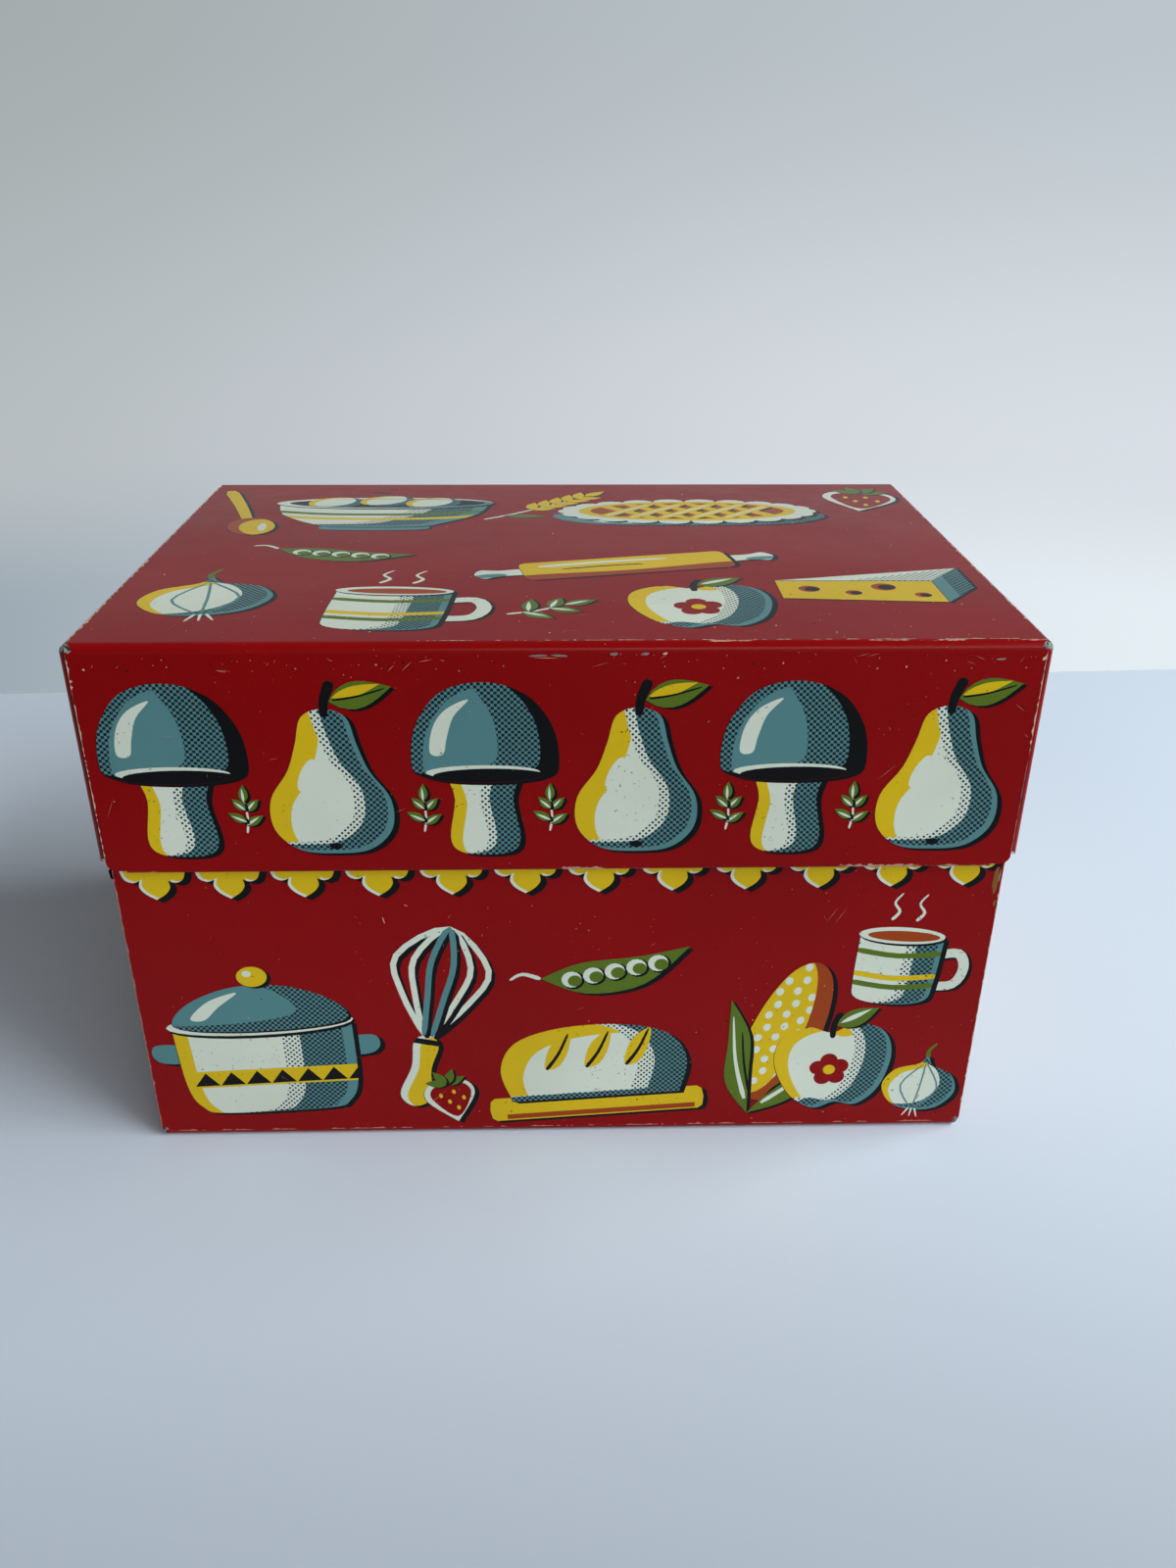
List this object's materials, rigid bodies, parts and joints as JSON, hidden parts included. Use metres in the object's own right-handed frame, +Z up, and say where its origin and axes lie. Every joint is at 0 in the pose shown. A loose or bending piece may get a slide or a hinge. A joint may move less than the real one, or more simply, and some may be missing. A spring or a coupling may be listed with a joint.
{
  "type": "recipe card box",
  "caption": "Hinged rectangular tinplate box for index cards: deep folded base, shallow overlapping lid and a curled wire hinge along the back.",
  "frame": {"origin": "centre of the footprint, on the surface that the box stands on", "axes": "+Z up, +X to the right as seen from the front, and the front faces -Y"},
  "size_m": [0.137, 0.0922, 0.0882],
  "materials": {
    "lid_tinplate": "varnished print outside, bare tin inside",
    "base_tinplate": "varnished print outside, bare tin inside",
    "wire": "tinned"
  },
  "bodies": {
    "base": {"base_wrap": "base_tinplate", "base_end_left": "base_tinplate", "base_end_right": "base_tinplate", "hinge_wire": "wire"},
    "lid": {"lid_wrap": "lid_tinplate", "lid_end_left": "lid_tinplate", "lid_end_right": "lid_tinplate"}
  },
  "joints": [
    {"name": "lid_hinge", "type": "hinge", "parent": "base", "child": "lid", "pos_m": [0, 0.04514, 0.0532], "axis": [-1, 0, 0], "range_deg": [0, 110]}
  ]
}
